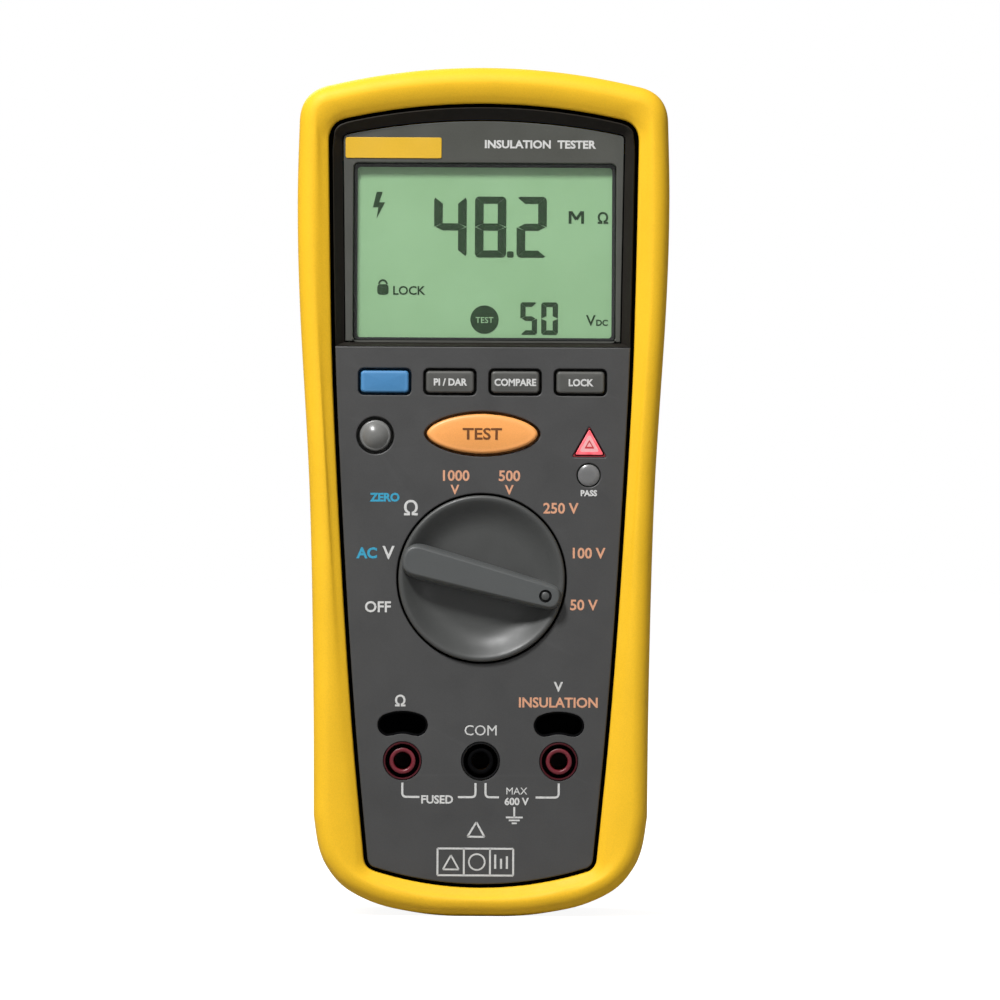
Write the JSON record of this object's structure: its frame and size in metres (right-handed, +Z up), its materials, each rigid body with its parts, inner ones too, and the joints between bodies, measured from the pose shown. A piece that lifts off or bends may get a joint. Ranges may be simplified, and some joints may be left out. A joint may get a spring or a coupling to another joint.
{
  "type": "insulation resistance tester",
  "caption": "Handheld insulation resistance tester: yellow-rimmed case, display, function keys, oval test key, rotary dial, input sockets, tilt stand and battery door.",
  "frame": {"origin": "on the floor under the middle of the case, at the bottom centre of its bounding box", "axes": "+X to the right of someone reading the display, +Y from the display side to the back, +Z up along the case from the sockets to the display"},
  "size_m": [0.089, 0.05, 0.203],
  "materials": {
    "yellow_overmould": "soft matt overmould",
    "deck_grey": "fine spark texture",
    "bezel_grey": "satin",
    "badge_yellow": "printed tab, left blank",
    "black_plastic": "matt",
    "window": "clear, lightly hard-coated",
    "lcd": "green reflective display",
    "diffuser": "milky",
    "shift_blue": "matt",
    "key_grey": "matt",
    "round_key_grey": "satin",
    "test_orange": "satin",
    "keypad_rubber": "matt",
    "lamp_red": "translucent",
    "lamp_grey": "translucent",
    "lamp_green": "translucent",
    "knob_grey": "satin with fine grain",
    "index_dark": "matt",
    "switch_plastic": "natural nylon",
    "socket_red": "satin",
    "brass": "bright",
    "board_green": "solder mask",
    "transformer_core": "varnished laminations",
    "capacitor_can": "sleeved",
    "fuse_ceramic": "ceramic body",
    "cell_can": "printed sleeve, blank",
    "steel": "plated",
    "dark_grey_plastic": "fine spark texture"
  },
  "bodies": {
    "case": {"front_rim": "yellow_overmould", "rear_shell": "yellow_overmould", "front_deck": "deck_grey", "display_bezel": "bezel_grey", "display_badge": "badge_yellow", "seam_gasket": "black_plastic", "display_frame": "black_plastic", "jack_insulator_com": "black_plastic", "probe_slot_left": "black_plastic", "probe_slot_right": "black_plastic", "fuse_holder": "black_plastic", "battery_tray": "black_plastic", "display_window": "window", "display_glass": "lcd", "display_backlight": "diffuser", "keypad_sheet": "keypad_rubber", "warning_lamp_lens": "lamp_red", "warning_diode": "lamp_red", "pass_lamp_lens": "lamp_grey", "pass_diode": "lamp_green", "detent_ring": "switch_plastic", "jack_insulator_left": "socket_red", "jack_insulator_right": "socket_red", "jack_contact_left": "brass", "jack_contact_com": "brass", "jack_contact_right": "brass", "key_board": "board_green", "main_board": "board_green", "transformer": "transformer_core", "reservoir_capacitor": "capacitor_can", "fuse": "fuse_ceramic", "cell_1": "cell_can", "cell_2": "cell_can", "cell_3": "cell_can", "cell_4": "cell_can", "cell_contact_left_low": "steel", "cell_contact_left_middle": "steel", "cell_contact_left_top": "steel", "cell_contact_right_low": "steel", "cell_contact_right_top": "steel", "stand_pin": "steel", "case_screw_1": "steel", "case_screw_2": "steel", "case_screw_3": "steel", "case_screw_4": "steel"},
    "dial": {"knob": "knob_grey", "knob_index": "index_dark", "knob_shaft": "switch_plastic", "switch_rotor": "switch_plastic", "rotor_wiper": "brass"},
    "shift_key": {"key_shift": "shift_blue"},
    "ratio_key": {"key_ratio": "key_grey"},
    "compare_key": {"key_compare": "key_grey"},
    "lock_key": {"key_lock": "key_grey"},
    "backlight_key": {"key_backlight": "round_key_grey"},
    "test_key": {"key_test": "test_orange"},
    "stand": {"tilt_stand": "dark_grey_plastic"},
    "door": {"battery_door": "dark_grey_plastic"},
    "low_lock": {"door_lock_low": "steel"},
    "high_lock": {"door_lock_high": "steel"}
  },
  "joints": [
    {"name": "dial_turn", "type": "hinge", "parent": "case", "child": "dial", "pos_m": [0, -0.0205, 0.0808], "axis": [0, -1, 0], "range_deg": [0, 210]},
    {"name": "shift_press", "type": "slide", "parent": "case", "child": "shift_key", "axis": [0, 1, 0], "range_m": [0, 0.001], "stiffness_N_per_m": 1500, "springref_m": -0.0004},
    {"name": "ratio_press", "type": "slide", "parent": "case", "child": "ratio_key", "axis": [0, 1, 0], "range_m": [0, 0.001], "stiffness_N_per_m": 1500, "springref_m": -0.0004},
    {"name": "compare_press", "type": "slide", "parent": "case", "child": "compare_key", "axis": [0, 1, 0], "range_m": [0, 0.001], "stiffness_N_per_m": 1500, "springref_m": -0.0004},
    {"name": "lock_press", "type": "slide", "parent": "case", "child": "lock_key", "axis": [0, 1, 0], "range_m": [0, 0.001], "stiffness_N_per_m": 1500, "springref_m": -0.0004},
    {"name": "backlight_press", "type": "slide", "parent": "case", "child": "backlight_key", "axis": [0, 1, 0], "range_m": [0, 0.001], "stiffness_N_per_m": 1500, "springref_m": -0.0004},
    {"name": "test_press", "type": "slide", "parent": "case", "child": "test_key", "axis": [0, 1, 0], "range_m": [0, 0.001], "stiffness_N_per_m": 2500, "springref_m": -0.0004},
    {"name": "stand_swing", "type": "hinge", "parent": "case", "child": "stand", "pos_m": [0, 0.0229, 0.118], "axis": [1, 0, 0], "range_deg": [0, 35]},
    {"name": "door_pull", "type": "slide", "parent": "case", "child": "door", "axis": [0, 1, 0], "range_m": [0, 0.03]},
    {"name": "low_lock_turn", "type": "hinge", "parent": "door", "child": "low_lock", "pos_m": [0, 0.0238, 0.0403], "axis": [0, 1, 0], "range_deg": [0, 90]},
    {"name": "high_lock_turn", "type": "hinge", "parent": "door", "child": "high_lock", "pos_m": [0, 0.0238, 0.1077], "axis": [0, 1, 0], "range_deg": [0, 90]}
  ]
}
